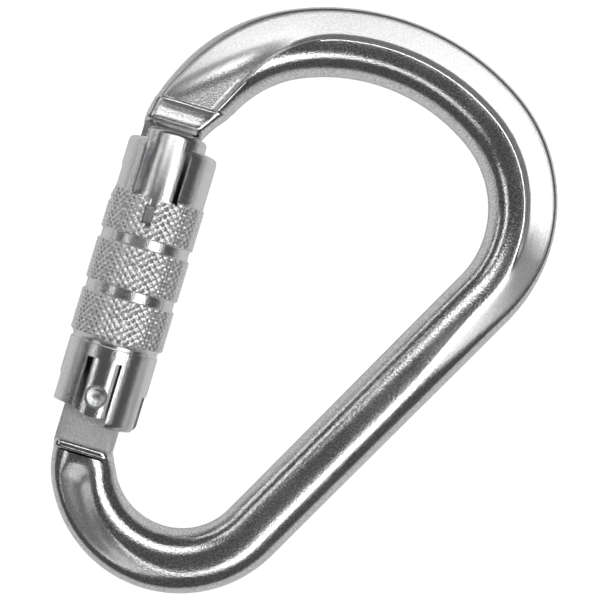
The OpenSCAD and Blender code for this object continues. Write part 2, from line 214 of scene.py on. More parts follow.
# Each stretch: length if straight, turn, radius, width and thickness at its end
half_turn = (90 + h_spine) / 2
stretches = np.array([
    [0, half_turn, NARROW_R, 11.7, 9.6],
    [0, half_turn, NARROW_R, 11.4, 10.6],
    [SPINE_LEN, 0, 0, 11.8, 10.6],
    [0, CORNER_TURN, CORNER_R, 12.8, 10.8],
    [0, CROWN_TURN, CROWN_R, 12.4, 10.8],
    [0, NOSE_HEADING - h_crown, SHOULDER_R, 12.8, 10.8],
])
START_SIZE = [NECK_W + 1.2, 7.0]


def bar_rings(step, first):
    """Outer edge, inner edge and half thickness along the bends, in even steps from the first."""
    turns = np.radians(stretches[:, 1])
    lengths = stretches[:, 0] + turns * stretches[:, 2]
    begins = np.concatenate([[0], np.cumsum(lengths)])
    h0 = np.radians(-90) + np.concatenate([[0], np.cumsum(turns)])
    moves = [lengths[i] * spine_dir if turns[i] == 0
             else stretches[i, 2] * arc_move(*np.degrees(h0[i:i + 2])) for i in range(len(lengths))]
    corners = bar_start + np.concatenate([[[0, 0]], np.cumsum(moves, 0)])
    s = np.linspace(first, begins[-1] - 1e-6, int((begins[-1] - first) / step))
    i = np.searchsorted(begins, s, side="right") - 1
    share = (s - begins[i]) / lengths[i]
    h = h0[i] + share * turns[i]
    bend = stretches[i, 2:3] * np.stack([np.sin(h) - np.sin(h0[i]), np.cos(h0[i]) - np.cos(h)], 1)
    centre = corners[i] + np.where(turns[i, None] == 0, (s - begins[i])[:, None] * spine_dir, bend)
    size = np.vstack([START_SIZE, stretches[:, 3:5]])
    width, thick = mix(size[i], size[i + 1], smooth(share)[:, None]).T
    side = np.stack([np.sin(h), -np.cos(h)], 1) * width[:, None] / 2
    return centre + side, centre - side, thick / 2


def bezier(a, b, c, d, t):
    """A cubic curve from a to d that leaves towards b and arrives from c."""
    t = t[:, None]
    return a * (1 - t) ** 3 + 3 * b * t * (1 - t) ** 2 + 3 * c * t ** 2 * (1 - t) + d * t ** 3


def join_edges(a, a_dir, b, b_dir, t):
    """An edge line from a to b that follows the given directions at its ends."""
    arm = np.linalg.norm(b - a) / 3
    return bezier(a, a + np.array(a_dir) * arm, b - np.array(b_dir) * arm, b, t)


STEP, FIRST = 0.34, 7.0
LEG_TOP, RIB_END = -9.0, -11.1
outer, inner, half = bar_rings(STEP, FIRST)
edge_t = np.linspace(0, 1, 60)
start_dir = (outer[1] - outer[0]) / np.linalg.norm(outer[1] - outer[0])
leg_out = join_edges(np.array([TONGUE_X[0], LEG_TOP]), (0, -1), outer[0], start_dir, edge_t)
leg_in = join_edges(np.array([TONGUE_X[1], LEG_TOP]), (0.05, -1), inner[0], start_dir, edge_t)
down = np.array([np.cos(np.radians(NOSE_HEADING)), np.sin(np.radians(NOSE_HEADING))])
NOSE_R, NOSE_IN = 6.45, 4.4
NOSE_FOOT_Y, PAD_TOP = 49.2, 54.9
nose_out = join_edges(outer[-1], down, np.array([-NOSE_R, NOSE_FOOT_Y]), (0, -1), edge_t)
nose_in = join_edges(inner[-1], down - [0.15, 0], np.array([NOSE_IN, NOSE_FOOT_Y]), (-0.35, -1), edge_t)


def level_rows(line, heights):
    """Points of an edge line at the given heights, so that rows there lie level."""
    order = np.argsort(line[:, 1])
    return np.stack([np.interp(heights, line[order, 1], line[order, 0]), heights], 1)


def even_rows(line, start, end, count):
    """Points at even steps of height along the part of an edge line between two heights."""
    return level_rows(line, np.linspace(start, end, count))


# Rows of the rib and of the pad lie level, with a few rows between them and the bends
RIB_ROWS, LEG_ROWS, SHOULDER_ROWS, PAD_ROWS = 22, 14, 18, 44
LEG_HALF, NOSE_HALF = TONGUE_HALF + 1.1, 4.9
rib_y, pad_y = np.linspace(LEG_TOP, RIB_END, RIB_ROWS), np.linspace(PAD_TOP, NOSE_FOOT_Y, PAD_ROWS)
outer, inner = (
    np.vstack([level_rows(leg, rib_y), even_rows(leg, RIB_END, edge[0, 1], LEG_ROWS)[1:-1], edge,
               even_rows(nose, edge[-1, 1], PAD_TOP, SHOULDER_ROWS)[1:-1], level_rows(nose, pad_y)])
    for leg, edge, nose in [(leg_out, outer, nose_out), (leg_in, inner, nose_in)])
half = np.concatenate([mix(LEG_HALF, half[0], np.linspace(0, 1, RIB_ROWS + LEG_ROWS - 2)), half,
                       mix(half[-1], NOSE_HALF, smooth(np.linspace(0, 1, SHOULDER_ROWS + PAD_ROWS - 2)))])
middle = (outer + inner) / 2
along = np.concatenate([[0], np.cumsum(np.linalg.norm(np.diff(middle, axis=0), axis=1))])
total = along[-1]
print(f"bar {total:.0f} mm long in {len(along)} rings")

# %% [markdown]
# ## The forged bar: its section
# The height of the upper face is a function of two things, the place along the bar and the
# share `u` across it, from the outer edge at 0 to the inner edge at 1. The lower face mirrors it.
# The spine is a plain oval. Round the basket the press has flattened the outer half into a web, with
# a small step, the ridge, up to the round inner half. The web is a straight cut through the oval, so
# only its two ends have to be said: the fold at the outer flank and the ridge. They run together
# on the spine, where the cut ends in a point.

# %% Section of the bar: oval, web and ridge
def oval(share):
    """Height of the full oval at a share of the width, a little fuller than an ellipse."""
    return half[:, None] * np.clip(1 - np.abs(2 * share - 1) ** 2.4, 0, 1) ** (1 / 2.2)


def soft_min(a, b, radius):
    """The lower of two surfaces, with the edge between them rounded."""
    return (a + b - np.sqrt((a - b) ** 2 + radius ** 2)) / 2


spine_end = along[np.argmin(np.linalg.norm(middle - (bar_start + NARROW_R * arc_move(-90, h_spine)
                                                     + SPINE_LEN * spine_dir), axis=1))]
RIDGE, RIDGE_RUN, RIDGE_STEP, FOLD, MEET = 0.45, 0.075, 1.75, 0.06, 0.32
past_spine = (along - spine_end)[:, None]
to_nose = (along - total)[:, None]
# The web starts this far before the spine's end, and fades in over a shorter length
WEB_START, WEB_FADE = 26, 14
past_start = past_spine + WEB_START
ridge_at = mix(MEET, RIDGE, smooth(past_start / WEB_START)) + 0.34 * smooth((to_nose + 36) / 26)
fold_at = mix(MEET - 0.02, FOLD, np.clip(past_start / 36, 0, 1))

# Columns are spread so that the fold and both sides of the ridge always lie on a column
ease = (1 - np.cos(np.linspace(0, np.pi / 2, 15))) * np.ones((len(along), 1))
even = np.linspace(0, 1, 13)[1:] * np.ones((len(along), 1))
U = np.concatenate([fold_at * ease, mix(fold_at, ridge_at, even), ridge_at + RIDGE_RUN * even[:, 1::2],
                    mix(1, ridge_at + RIDGE_RUN, (1 - np.sin(np.linspace(0, np.pi / 2, 29)[1:])))], 1)
S = along[:, None] + 0 * U
flat = mix(outer[:, None], inner[:, None], U[..., None])
Y = flat[..., 1]
near_nose = smooth((to_nose + 34) / 22)
fold_z = oval(fold_at) + 0.5 * near_nose
ridge_z = oval(RIDGE + 0 * ridge_at) - RIDGE_STEP * smooth((past_spine - 4) / 14) + 0.9 * near_nose
web = fold_z + (ridge_z - fold_z) * (U - fold_at) / (ridge_at - fold_at)

# At the nose a lower facet is sunk in the web. A bank runs slantwise over the bar and falls to the
# facet's height over its width, steeply at first. From the middle of its length on it fades out
BANK_FROM, BANK_TO = np.array([-5.2, 54.6]), np.array([16.3, 73.3])
BANK_WIDTH, BANK_LIP, FACET_Z, NOSE_ZONE = 2.8, 0.6, 3.05, 60
bank_len = np.linalg.norm(BANK_TO - BANK_FROM)
bank_dir = (BANK_TO - BANK_FROM) / bank_len
from_bank = flat - BANK_FROM
past_bank = from_bank[..., 0] * bank_dir[1] - from_bank[..., 1] * bank_dir[0]
along_bank = from_bank @ bank_dir / bank_len
fade = (1 - smooth((along_bank - 0.5) / 0.6)) * (to_nose > -NOSE_ZONE)
bank_share = np.clip((past_bank + np.sqrt(past_bank ** 2 + BANK_LIP ** 2)) / 2 / BANK_WIDTH, 0, 1)
bank_fall = 1 - (1 - bank_share) ** 2.2
web = mix(web, soft_min(web, FACET_Z, 0.3), bank_fall * fade)
cut = soft_min(oval(U), web, 0.22)
height = mix(cut, oval(U), smooth((U - ridge_at) / RIDGE_RUN))
height = mix(oval(U), height, smooth(past_start / WEB_FADE))

# The web is satin and the rest is polished. Past the bank the satin is weaker
satin = smooth((past_spine + 20) / 8) * (1 - smooth((U - ridge_at) / RIDGE_RUN)) * smooth(U / fold_at - 0.7)
satin = satin * (1 - 0.45 * smooth(past_bank / BANK_WIDTH + 0.3) * fade)

# %% Section of the bar: scoop below the hinge
SCOOP_START, SCOOP_END, SCOOP_DEPTH = 2.6, 34.0, 0.9
scoop_s = np.clip((S - SCOOP_START) / (SCOOP_END - SCOOP_START), 0, 1)
scoop_mid, scoop_half = mix(0.44, 0.3, scoop_s), mix(0.34, 0.12, scoop_s)
scoop_side = np.clip(1 - ((U - scoop_mid) / scoop_half) ** 2, 0, 1) ** 2.2
scoop = scoop_side * smooth((S - SCOOP_START) / 5.0) * (1 - smooth(scoop_s))
height = height - SCOOP_DEPTH * scoop
satin = np.maximum(satin, 0.7 * smooth(4 * scoop))


# %% Section of the bar: the cross rib at the hinge and the pad at the nose
def flat_rib(y_mid, reach, base, crest):
    """Height of a rib laid across the bar: a squarish bump in Y, from a base height to its crest."""
    return base + (crest - base) * np.clip(1 - np.abs((Y - y_mid) / reach) ** 3, 0, 1) ** 0.5


edge_round = np.clip(1 - np.abs(2 * U - 1) ** 9, 0, 1) ** (1 / 3)
RIB_MID, RIB_REACH, RIB_FOOT, RIB_CREST = -9.95, 0.95, -10.9, 3.6
hinge_rib = flat_rib(RIB_MID, RIB_REACH, TONGUE_HALF, RIB_CREST) * edge_round
height = np.where((S < SCOOP_START) & (Y > RIB_FOOT), hinge_rib, height)

# The pad's height at each place in Y, from the foot of the nose up to where the pad begins
PAD_START, PAD_ZONE = 54.6, 30
PAD = np.array([[48.9, 2.1], [49.3, 2.2], [50.1, 3.55], [50.6, 3.85], [51.2, 3.85], [51.6, 3.8], [52.6, 3.74],
                [53.6, 3.78], [54.0, 3.86], [54.25, 3.9], [54.6, 3.7]])
pad = sum(np.interp(Y + shift, *PAD.T) for shift in (-0.15, 0, 0.15)) / 3 * edge_round
height = np.where(S > total - PAD_ZONE, mix(height, pad, smooth((PAD_START - Y) / 0.4)), height)

top = np.concatenate([flat, height[..., None]], -1)
bottom = (top * [1, 1, -1])[:, -2:0:-1]
bar_points = np.concatenate([top, bottom], 1)
cols = bar_points.shape[1]
bar_faces = [grid_faces(len(along), cols, wrap_cols=True), *end_caps(len(along), cols)]
make_piece("forged_bar", bar_points, bar_faces, "frame", ["frame"], sharp=40,
           satin=np.concatenate([satin, satin[:, -2:0:-1]], 1))

# %% [markdown]
# ## Hinge tongue
# At the rivet the bar ends in a flat, blasted tongue that the gate's fork straddles. Its top is
# a cam: the spring plunger rides on it and rises evenly as the gate opens. The tongue is a ring of
# sections round the rivet's hole, and each section goes up the hole, out along the face, over the
# rounded edge and back. The distance to the outline in each direction is all that changes.

# %% Hinge tongue
TONGUE_R, CAM_LIFT = 5.95, 1.0
SWING = np.radians(joint["gate_swing"]["range_deg"][1])
HOLE_R, TONGUE_ROOT = 2.14, LEG_TOP - 1.2


def ray_to_outline(angle, outline):
    """Distance from the rivet to a closed outline, along rays at the given angles."""
    a, b = outline, np.roll(outline, -1, 0)
    d = np.stack([np.cos(angle), np.sin(angle)], 1)
    e = b - a
    cross = d[:, None, 0] * e[None, :, 1] - d[:, None, 1] * e[None, :, 0]
    cross = np.where(np.abs(cross) < 1e-9, 1e-9, cross)
    t = (a[None, :, 0] * e[None, :, 1] - a[None, :, 1] * e[None, :, 0]) / cross
    k = (a[None, :, 0] * d[:, None, 1] - a[None, :, 1] * d[:, None, 0]) / cross
    return np.where((t > 0) & (k >= -1e-6) & (k <= 1 + 1e-6), t, np.inf).min(1)


cam = np.linspace(0, SWING, 12)
lift = TONGUE_R + CAM_LIFT * cam
cam_line = np.stack([lift * np.sin(cam) + CAM_LIFT * np.cos(cam),
                     lift * np.cos(cam) - CAM_LIFT * np.sin(cam)], 1)
round_top = np.linspace(np.pi / 2, np.arccos(TONGUE_X[0] / TONGUE_R), 12)[1:]
round_line = TONGUE_R * np.stack([np.cos(round_top), np.sin(round_top)], 1)
outline = np.vstack([cam_line[::-1], [[0, TONGUE_R]], round_line,
                     [[TONGUE_X[0], TONGUE_ROOT], [TONGUE_X[1], TONGUE_ROOT], [TONGUE_X[1], 0]]])
angle = np.linspace(0, 2 * np.pi, 160, endpoint=False)
reach = ray_to_outline(angle, outline)
EDGE = 0.35
bevel = np.radians([90, 60, 30, 0])
section_r = np.stack([0 * reach + HOLE_R, 0 * reach + HOLE_R]
                     + [reach - EDGE + EDGE * np.cos(b) for b in bevel]
                     + [reach - EDGE + EDGE * np.cos(b) for b in bevel[::-1]], 1)
face_z, rim_z = TONGUE_HALF, TONGUE_HALF - EDGE
section_z = np.concatenate([[-face_z, face_z], rim_z + EDGE * np.sin(bevel),
                            -rim_z - EDGE * np.sin(bevel[::-1])])
tongue_points = np.stack([section_r * np.cos(angle)[:, None], section_r * np.sin(angle)[:, None],
                          section_z[None, :] + 0 * section_r], -1)
make_piece("hinge_tongue", tongue_points, [grid_faces(len(angle), len(section_z), True, True)], "frame")

# %% [markdown]
# ## Nose
# The other end of the bar is a hook that the closed gate holds: a thin neck with a thicker foot.
# All its curved faces are centred on the rivet, so the gate can swing round it. The grid has the
# outline of half a T as its columns, and rows that go across the gate.

# %% Nose
NECK_HALF, FOOT_HALF = 2.1, 2.9
FOOT_R = (GATE_SPAN - 12.8, GATE_SPAN - 9.8)
NECK_ROOT = NOSE_FOOT_Y + 1.2
NOSE_X = 3.9
soft = 0.25
t_profile = np.array([
    [NECK_ROOT, NECK_HALF], [FOOT_R[1], NECK_HALF], [FOOT_R[1], FOOT_HALF - soft],
    [FOOT_R[1] - soft, FOOT_HALF], [FOOT_R[0] + soft, FOOT_HALF], [FOOT_R[0], FOOT_HALF - soft],
    [FOOT_R[0], -FOOT_HALF + soft], [FOOT_R[0] + soft, -FOOT_HALF], [FOOT_R[1] - soft, -FOOT_HALF],
    [FOOT_R[1], -FOOT_HALF + soft], [FOOT_R[1], -NECK_HALF], [NECK_ROOT, -NECK_HALF]])
NOSE_ROWS = 40
across = np.linspace(0, 1, NOSE_ROWS)[:, None]
left = -np.sqrt(NOSE_R ** 2 - t_profile[:, 1] ** 2)
nose_x = mix(left[None, :], NOSE_X, across)
nose_y = np.sqrt(t_profile[None, :, 0] ** 2 - nose_x ** 2)
nose_points = np.stack([nose_x, nose_y, t_profile[None, :, 1] + 0 * nose_x], -1)
nose_caps = [[cap[0][::-1]] for cap in end_caps(NOSE_ROWS, len(t_profile))]
make_piece("nose_hook", nose_points, [grid_faces(NOSE_ROWS, len(t_profile), wrap_cols=True), *nose_caps],
           "frame")

# %% [markdown]
# ## Turned pieces
# Rivet, plunger, washer and bush are made on a lathe, and so are their meshes: a profile of
# radius and height, carried round an axis. Short arcs in the profile stand for broken edges.


# %% Lathe
def lathe(name, profile, axis, body, node, segments=96, closed=False):
    """A profile of (radius, height) carried round the gate's axis or the rivet's axis."""
    profile = np.array(profile, float)
    a = np.linspace(0, 2 * np.pi, segments, endpoint=False)
    r, h = profile[:, 0], profile[:, 1]
    x, z = np.outer(np.cos(a), r), np.outer(np.sin(a), r)
    h = np.broadcast_to(h, x.shape)
    points = np.stack([x, z, h] if axis == "rivet" else [x, h, -z], -1)
    return make_piece(name, points, [grid_faces(segments, len(profile), True, closed)], body, [node])


def corner_arc(r, h, e, start):
    """A quarter circle of radius e about (r, h), from a start angle in degrees."""
    a = np.radians(np.linspace(start, start + 90, 5))
    return [[r + e * np.cos(t), h + e * np.sin(t)] for t in a]


GATE_R = 5.6
RIVET_R, DIMPLE_R, DIMPLE_DEPTH, RIM = 2.1, 1.6, 0.4, 0.12
rivet_z = np.sqrt(GATE_R ** 2 - RIVET_R ** 2) + RIM
dish = np.linspace(0, 1, 8)
dimple = [[DIMPLE_R * d, rivet_z - DIMPLE_DEPTH * (1 - d ** 2)] for d in dish]
rim_arc = corner_arc(RIVET_R - RIM, rivet_z - RIM, RIM, 0)[::-1]
upper = dimple + rim_arc
rivet_profile = upper + [[r, -h] for r, h in upper[::-1]]
lathe("rivet", rivet_profile, "rivet", "gate", "hinge_rivet")


# %% Plunger, washer and bush
BORE_R, GATE_WIRE = 2.1, 0.3
PLUNGER_R = BORE_R - 0.06
FOOT_Y = TONGUE_R + 0.04
STEP_Y, STEM_Y = FOOT_Y + 7, FOOT_Y + 14
STEM_R = BORE_R - 2 * GATE_WIRE - 0.35
FOOT_ARC, STEP_ARC = 0.3, 0.15
plunger_profile = ([[0, FOOT_Y]] + corner_arc(PLUNGER_R - FOOT_ARC, FOOT_Y + FOOT_ARC, FOOT_ARC, -90)
                   + corner_arc(PLUNGER_R - STEP_ARC, STEP_Y - STEP_ARC, STEP_ARC, 0) + [[STEM_R, STEP_Y]]
                   + corner_arc(STEM_R - FOOT_ARC, STEM_Y - FOOT_ARC, FOOT_ARC, 0) + [[0, STEM_Y]])
lathe("plunger", plunger_profile, "gate", "plunger", "spring_plunger")


def ring_profile(r_in, r_out, lo, hi, e):
    """The closed outline of a flat ring with its four edges broken."""
    return (corner_arc(r_in + e, lo + e, e, 180) + corner_arc(r_out - e, lo + e, e, 270)
            + corner_arc(r_out - e, hi - e, e, 0) + corner_arc(r_in + e, hi - e, e, 90))


SLEEVE_BORE = 6.6
for node, name, slot, inset, e in [("thrust_washer", "washer", "pin_steel", 0.1, 0.12),
                                   ("guide_bush", "bush", "bush_plastic", 0.06, 0.3)]:
    lo, hi = node_box(node)
    lathe(name, ring_profile(GATE_R + 0.02, SLEEVE_BORE - inset, lo[1], hi[1], e), "gate", "gate",
          node, closed=True)

# %% [markdown]
# ## Springs and ring
# A coil is a circle of wire swept along a helix. The helix is a formula, so the whole tube is one
# array: the wire's own circle lies in the plane of the gate's axis and the radius. The turns
# at both ends are closed up, as on a wound spring, by letting the pitch ease in and out.


# %% Coils
def wire_tube(name, coil_r, wire_r, heights, angles, body, node, sides=10):
    """A wire of radius wire_r round the gate's axis, at the given heights and angles."""
    b = np.linspace(0, 2 * np.pi, sides, endpoint=False)
    r = coil_r + wire_r * np.cos(b)[None, :]
    h = heights[:, None] + wire_r * np.sin(b)[None, :]
    points = np.stack([r * np.sin(angles)[:, None], h, r * np.cos(angles)[:, None]], -1)
    n = len(angles)
    faces = [grid_faces(n, sides, wrap_cols=True), *end_caps(n, sides)]
    return make_piece(name, points, faces, body, [node])


def closed_end_heights(lo, hi, wire_r, turns, n):
    """Heights along a spring whose first and last turns lie nearly flat."""
    t = np.linspace(0, 1, n)
    ease = smooth(t * turns / 1.2) * smooth((1 - t) * turns / 1.2) + 0.25
    climb = np.concatenate([[0], np.cumsum((ease[1:] + ease[:-1]) / 2)])
    return lo + wire_r + (hi - lo - 2 * wire_r) * climb / climb[-1]


for node, name, coil_r, wire_r, turns, per_turn in [
        ("gate_spring", "gate_coil", BORE_R - GATE_WIRE - 0.12, GATE_WIRE, 9, 40),
        ("sleeve_spring", "sleeve_coil", (GATE_R + SLEEVE_BORE) / 2, 0.34, 8, 64)]:
    lo, hi = node_box(node)
    n = turns * per_turn
    heights = closed_end_heights(lo[1], hi[1], wire_r, turns, n)
    angles = np.linspace(0, 2 * np.pi * turns, n)
    wire_tube(name, coil_r, wire_r, heights, angles, "gate", node)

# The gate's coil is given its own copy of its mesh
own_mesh(bpy.data.objects["gate_coil"])

# The snap ring is one open turn of wire, with its gap to the side
RING_WIRE, RING_STEPS = 0.5, 100
lo, hi = node_box("retaining_ring")
ring_angles = np.radians(np.linspace(20, 340, RING_STEPS)) + np.radians(250)
wire_tube("snap_ring", GATE_R, RING_WIRE, np.full(RING_STEPS, (lo[1] + hi[1]) / 2), ring_angles, "gate",
          "retaining_ring")

# %% [markdown]
# ## Gate
# The gate is turned, slotted and drilled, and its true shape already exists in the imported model.
# A copy of that mesh is welded and its flat faces are dissolved, so that a Bevel modifier can break
# the edges of the slots: a machined edge without a small bevel never catches the light.


# %% Gate
def softened_copy(node, name, width):
    """A welded copy of a CAD node whose sharp edges are broken by a small bevel."""
    mesh = frame["nodes"][node].data.copy()
    mesh.name = name
    bm = bmesh.new()
    bm.from_mesh(mesh)
    bmesh.ops.remove_doubles(bm, verts=bm.verts, dist=1e-6)
    bmesh.ops.dissolve_limit(bm, angle_limit=np.radians(0.2), verts=bm.verts, edges=bm.edges)
    bm.to_mesh(mesh)
    bm.free()
    mesh.materials.clear()
    piece = bpy.data.objects.new(name, mesh)
    bpy.context.scene.collection.objects.link(piece)
    bevel_mod = piece.modifiers.new("edges", "BEVEL")
    bevel_mod.width = width * MM
    bevel_mod.segments = 2
    bevel_mod.limit_method = "ANGLE"
    bevel_mod.angle_limit = np.radians(40)
    bevel_mod.harden_normals = True
    mesh.shade_smooth()
    mesh.set_sharp_from_angle(angle=np.radians(35))
    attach(piece, "gate")
    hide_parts(node)
    return piece


gate = softened_copy("gate_body", "gate_barrel", 0.18)

# %% [markdown]
# ## Locking sleeve
# The sleeve is a turned tube with three knurled bands and slots at both ends. It is a shell of
# cells: columns run round it, rows run along it, and a mask says which cells are metal. Columns and
# rows are placed so that slot edges fall exactly between cells. A slot is milled flat, so its edge is
# at a fixed distance across, and the angle to it differs between the outer and the inner wall.
# The knurl is two families of helical grooves: the height of each point is the lower of the two
# triangle waves, which leaves small pyramids, as rolling does. Below the knurl runs a shallow groove.

# %% Sleeve: columns and rows
SKIRT_IN, SKIRT_OUT, SLEEVE_TOP = -4.9, -2.4, 46.5
KNURL_LO, KNURL_LEN, BANDS, GROOVE = 10.2, 26.8, 3, 1.6
KNURL_HI = KNURL_LO + KNURL_LEN
UPPER_SLOT, LOWER_SLOT = 8.1 / 2, 6.25 / 2
UPPER_BOTTOM, LOWER_TOP = KNURL_HI - 0.8, 6.8
KEY_HALF = 1.65 / 2
KEYWAY_BOTTOM = UPPER_BOTTOM - 1.2 - 3.1 - 0.9
NECK_GAP, FOOT_GAP, TONGUE_GAP, NOTCH_GAP = 2.4, 3.2, 2.7, 3.05
TONGUE_SLOT_TOP, NOTCH_TOP = 1.9, 2.3
OUTER_REACH, PLAY = 8.65, 0.2
WINDOW_LO = np.sqrt((FOOT_R[0] - PLAY) ** 2 - OUTER_REACH ** 2) - PLAY
WINDOW_HI = FOOT_R[1] + 0.5
NECK_LOW = FOOT_R[0] - 3
UNDERCUT_LEN, UNDERCUT_DEPTH = 1.2, 0.3
UNDERCUT_LO = KNURL_LO - UNDERCUT_LEN


def edge_angles(radius):
    """Angles of all slot edges on a wall of the given radius, from the front towards +X."""
    widths = (KEY_HALF, LOWER_SLOT, UPPER_SLOT, TONGUE_GAP, FOOT_GAP, NOTCH_GAP, NECK_GAP)
    key, lower, upper, tongue, foot, notch, neck = (np.arcsin(w / radius) for w in widths)
    inner_side, back, outer_side, front = np.pi / 2 * np.arange(1, 5)
    return np.array([key, lower, upper, inner_side - tongue, inner_side + tongue,
                     back - upper, back - lower, back + lower, back + upper,
                     outer_side - foot, outer_side - notch, outer_side - neck,
                     outer_side + neck, outer_side + notch, outer_side + foot,
                     front - upper, front - lower, front - key, front + key])


MEAN_R = 8.2
mean_edges = edge_angles(MEAN_R)
FINE = np.radians(1.35)
counts = np.maximum(1, np.round(np.diff(mean_edges) / FINE)).astype(int)
edge_cols = np.concatenate([[0], np.cumsum(counts)])
n_cols = edge_cols[-1]
col = np.arange(n_cols)


def column_angles(radius):
    """The angle of every column on a wall of the given radius."""
    return np.interp(col, edge_cols, edge_angles(radius))


band_len = (KNURL_LEN - (BANDS - 1) * GROOVE) / BANDS
band_lo = KNURL_LO + np.arange(BANDS) * (band_len + GROOVE)
key_rows = np.unique(np.round(np.concatenate([
    [SKIRT_IN, SKIRT_IN + 0.15, SKIRT_IN + 0.4, SKIRT_IN + 1, SKIRT_OUT],
    [TONGUE_SLOT_TOP, NOTCH_TOP, LOWER_TOP, UPPER_BOTTOM, NECK_LOW, KEYWAY_BOTTOM, WINDOW_LO, WINDOW_HI],
    [UNDERCUT_LO, UNDERCUT_LO + 0.1, UNDERCUT_LO + 0.2],
    [SLEEVE_TOP - 1, SLEEVE_TOP - 0.4, SLEEVE_TOP - 0.15, SLEEVE_TOP],
    band_lo, band_lo + band_len]), 4))
gaps = np.diff(key_rows)
fine_row = (key_rows[:-1] >= KNURL_LO - 1e-6) & (key_rows[:-1] < KNURL_HI - 1e-6)
row_counts = np.maximum(1, np.round(gaps / np.where(fine_row, 0.2, 0.5))).astype(int)
row_y = np.concatenate([key_rows[i] + gaps[i] * np.arange(row_counts[i]) / row_counts[i]
                        for i in range(len(gaps))] + [[SLEEVE_TOP]])
print("sleeve grid", n_cols, "by", len(row_y))

# %% Sleeve: which cells are metal
cell_y = (row_y[1:] + row_y[:-1])[:, None] / 2
mean_cols = column_angles(MEAN_R)
cell_a = (mean_cols + np.append(mean_cols[1:], mean_edges[-1]))[None, :] / 2
cell_x, cell_z = MEAN_R * np.sin(cell_a), MEAN_R * np.cos(cell_a)
outward, inward = cell_x < 0, cell_x > 0


def side_slot(side, half_gap, lo, hi):
    """Cells of a slot on the +X or -X side, between two heights."""
    return side & (np.abs(cell_z) < half_gap) & (cell_y > lo) & (cell_y < hi)


open_cells = ((np.abs(cell_x) < UPPER_SLOT) & (cell_y > UPPER_BOTTOM)
              | (np.abs(cell_x) < LOWER_SLOT) & (cell_y < LOWER_TOP)
              | (cell_x < -LOWER_SLOT) & (cell_y < SKIRT_OUT)
              | (np.abs(cell_x) < KEY_HALF) & (cell_z > 0) & (cell_y > KEYWAY_BOTTOM)
              | side_slot(outward, NOTCH_GAP, -np.inf, NOTCH_TOP)
              | side_slot(outward, FOOT_GAP, WINDOW_LO, WINDOW_HI)
              | side_slot(outward, NECK_GAP, NECK_LOW, np.inf)
              | side_slot(inward, TONGUE_GAP, -np.inf, TONGUE_SLOT_TOP))
metal = ~open_cells

# %% Sleeve: radius of the outer wall
SLEEVE_R, COLLAR_R, KNURL_R = 8.1, 8.25, 8.6
KNURL_COUNT, KNURL_DEPTH = 40, 0.28
NOSE_BORE, NOSE_BORE_LO = 6.9, UPPER_BOTTOM - 0.6
on_collar = row_y > KNURL_HI - 1e-6
base_r = np.where(on_collar, COLLAR_R, SLEEVE_R)
end_gap = np.minimum(row_y - SKIRT_IN, SLEEVE_TOP - row_y)
base_r = base_r - 1 + np.sqrt(np.clip(1 - np.clip(1 - end_gap, 0, 1) ** 2, 0, 1))
undercut = smooth((row_y - UNDERCUT_LO) / 0.2) * (row_y < KNURL_LO - 1e-6)
base_r = base_r - UNDERCUT_DEPTH * undercut
in_band = sum(smooth((row_y - lo) / 0.25) * smooth((lo + band_len - row_y) / 0.25) for lo in band_lo)
KNURL_MID_R = 8.4
phase = column_angles(KNURL_MID_R) * KNURL_COUNT / (2 * np.pi)
pitch = 2 * np.pi * KNURL_R / KNURL_COUNT


def triangle_wave(t):
    """Falls from 1 at whole numbers to 0 halfway between them."""
    return np.abs(2 * (t - np.floor(t)) - 1)


knurl = np.minimum(triangle_wave(phase[None, :] + row_y[:, None] / pitch),
                   triangle_wave(phase[None, :] - row_y[:, None] / pitch))
knurl = np.clip(knurl * 1.25, 0, 1) * KNURL_DEPTH  # the pyramids' tips are blunt
knurl_r = KNURL_R - KNURL_DEPTH + knurl
wall_r = mix(base_r[:, None], knurl_r, in_band[:, None])

# %% Sleeve: walls and slot sides
in_nose_bore = (row_y > NOSE_BORE_LO)[:, None]
wall_in = np.where(in_nose_bore, NOSE_BORE, SLEEVE_BORE) + 0 * wall_r
angles_at = {r: column_angles(r) for r in (SLEEVE_BORE, NOSE_BORE, SLEEVE_R, COLLAR_R)}
a_in = np.where(in_nose_bore, angles_at[NOSE_BORE], angles_at[SLEEVE_BORE])
a_out = np.where(on_collar[:, None], angles_at[COLLAR_R], angles_at[SLEEVE_R])
height_grid = np.broadcast_to(row_y[:, None], wall_r.shape)
outside = np.stack([wall_r * np.sin(a_out), height_grid, wall_r * np.cos(a_out)], -1)
inside = np.stack([wall_in * np.sin(a_in), height_grid, wall_in * np.cos(a_in)], -1)
n_rows = len(row_y)
quads = grid_faces(n_rows, n_cols, wrap_cols=True).reshape(n_rows - 1, n_cols, 4)
shift = n_rows * n_cols
padded = np.pad(metal, ((1, 1), (0, 0)))
ends = padded[1:] != padded[:-1]
sides = metal != np.roll(metal, 1, 1)


def wall_strip(where, first, second, keep_order):
    """Side walls between the outer and the inner wall along marked edges of the grid."""
    a, b = first[where], second[where]
    a, b = np.where(keep_order[where], a, b), np.where(keep_order[where], b, a)
    return np.stack([a, b, b + shift, a + shift], -1)


